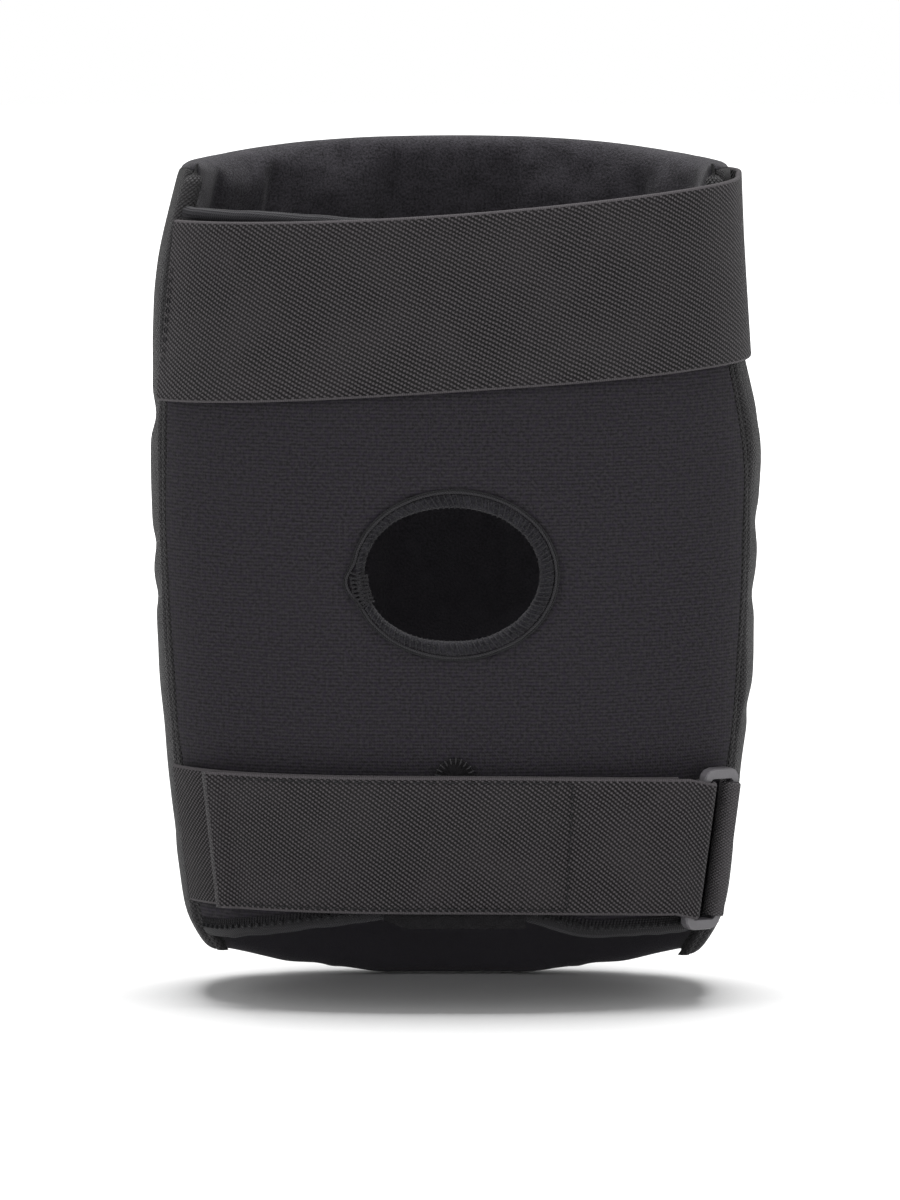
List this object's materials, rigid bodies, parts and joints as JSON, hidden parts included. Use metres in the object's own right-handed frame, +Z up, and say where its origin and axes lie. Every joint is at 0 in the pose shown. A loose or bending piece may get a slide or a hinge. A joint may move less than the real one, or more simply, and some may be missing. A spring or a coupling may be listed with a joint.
{
  "type": "padded sports knee guard",
  "caption": "Pull-on padded knee guard with a neoprene back, an oval hole behind the knee, two elastic straps and a plastic strap ring.",
  "frame": {"origin": "on the floor, midway between the two sides and midway between the ring at the back and the cap at the front", "axes": "+Z up the leg, +X to the right seen from behind the knee, -Y out of the back of the knee, +Y towards the front cap"},
  "size_m": [0.1679, 0.1188, 0.2335],
  "materials": {
    "neoprene": "fine ribbed jersey over neoprene",
    "coarse_nylon": "coarse basket weave",
    "brushed_lining": "brushed, fuzzy",
    "foam": "closed-cell foam",
    "elastic_webbing": "twill elastic",
    "overlock_thread": "overlocked thread",
    "hook_tape": "hook tape",
    "loop_tape": "loop tape",
    "ring_plastic": "moulded, semi-gloss",
    "cap_plastic": "moulded, semi-gloss",
    "rivet_steel": "blackened"
  },
  "bodies": {
    "shin": {"shin_cover": "coarse_nylon", "shin_lining": "brushed_lining", "shin_foam_left": "foam", "shin_foam_right": "foam", "knee_foam": "foam", "knee_cap": "cap_plastic", "cap_rivet_1": "rivet_steel", "cap_rivet_2": "rivet_steel", "cap_rivet_3": "rivet_steel", "cap_rivet_4": "rivet_steel", "cap_washer_1": "rivet_steel", "cap_washer_2": "rivet_steel", "cap_washer_3": "rivet_steel", "cap_washer_4": "rivet_steel", "flex_gusset_left": "coarse_nylon", "flex_gusset_right": "coarse_nylon", "back_panel": "neoprene", "hole_binding": "overlock_thread", "bottom_hem": "overlock_thread", "seam_piping_left": "coarse_nylon", "seam_piping_right": "coarse_nylon", "stitch_patch": "overlock_thread", "lower_strap": "elastic_webbing", "tail_loop_strip": "loop_tape", "ring_tab": "coarse_nylon"},
    "thigh": {"thigh_cover": "coarse_nylon", "thigh_lining": "brushed_lining", "thigh_foam_wing_left": "foam", "thigh_foam_wing_right": "foam", "thigh_foam_front_left": "foam", "thigh_foam_front_center": "foam", "thigh_foam_front_right": "foam", "top_hem": "overlock_thread", "upper_strap": "elastic_webbing", "upper_loop_patch": "loop_tape"},
    "ring": {"strap_ring": "ring_plastic"},
    "tail": {"lower_strap_tail": "elastic_webbing", "tail_hook_patch": "hook_tape"},
    "upper_end": {"upper_strap_end": "elastic_webbing", "upper_hook_patch": "hook_tape"}
  },
  "joints": [
    {"name": "knee_flex", "type": "hinge", "parent": "shin", "child": "thigh", "pos_m": [0, 0.0407, 0.1225], "axis": [1, 0, 0], "range_deg": [0, 30], "stiffness_Nm_per_rad": 0.8, "deforming": ["back_panel", "hole_binding", "seam_piping_left", "seam_piping_right", "flex_gusset_left", "flex_gusset_right"]},
    {"name": "ring_swing", "type": "hinge", "parent": "shin", "child": "ring", "pos_m": [0.07321, -0.03198, 0.0428], "axis": [0.1268, -0.0458, 0.9909], "range_deg": [0, 40], "stiffness_Nm_per_rad": 0.002},
    {"name": "lower_strap_peel", "type": "hinge", "parent": "ring", "child": "tail", "pos_m": [0.06559, -0.04054, 0.04338], "axis": [0.1268, -0.0458, 0.9909], "range_deg": [0, 140], "stiffness_Nm_per_rad": 0.002},
    {"name": "upper_strap_peel", "type": "hinge", "parent": "thigh", "child": "upper_end", "pos_m": [0.08015, -0.00774, 0.20052], "axis": [0.0687, -0.0057, -0.9976], "range_deg": [0, 110], "stiffness_Nm_per_rad": 0.002}
  ]
}
